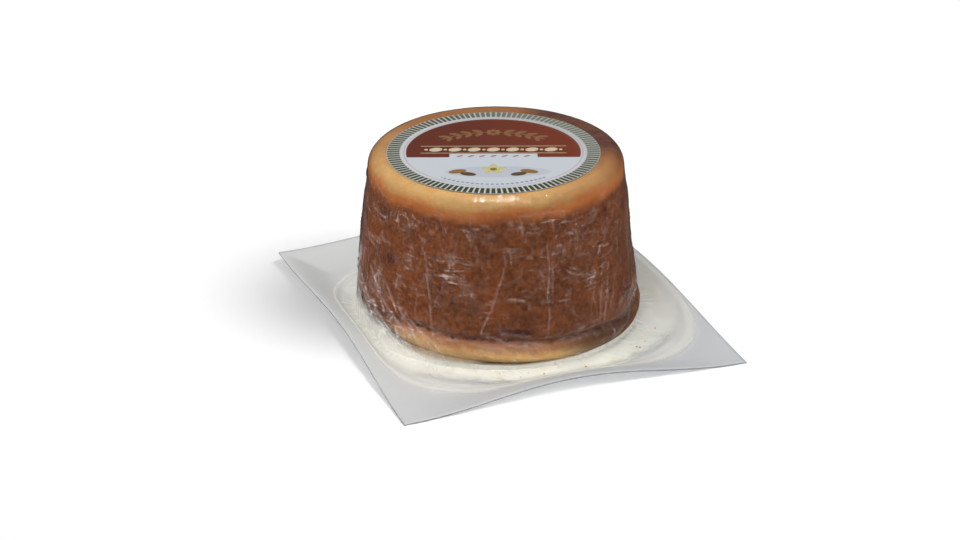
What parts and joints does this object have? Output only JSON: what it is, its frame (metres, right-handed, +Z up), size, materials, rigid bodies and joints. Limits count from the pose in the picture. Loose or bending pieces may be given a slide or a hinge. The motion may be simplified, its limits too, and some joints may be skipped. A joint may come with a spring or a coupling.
{
  "type": "vacuum-packed baked ricotta round",
  "caption": "Moulded, baked ricotta round in clear skin film on a clear base sheet, with a round paper label on top.",
  "frame": {"origin": "middle of the base sheet's outline, on the surface that the pack stands on", "axes": "+Z up, +Y along the base sheet's longer side, +X along its shorter side"},
  "size_m": [0.168, 0.187, 0.0847],
  "materials": {
    "base_sheet": "frosted clear plastic film, about 0.3 mm thick",
    "skin_film": "clear glossy skin film, shrunk on, with fine wrinkles",
    "baked_ricotta": "baked skin, mottled brown on the side and golden at the top and foot",
    "whey": "pale cream whey and crumbs of curd, trapped under the film",
    "label_paper": "satin coated paper, printed in dark red, cream, white and grey-green"
  },
  "bodies": {
    "root": {"pack_sheet": "base_sheet", "ricotta_round": "baked_ricotta", "round_label": "label_paper"}
  },
  "joints": []
}
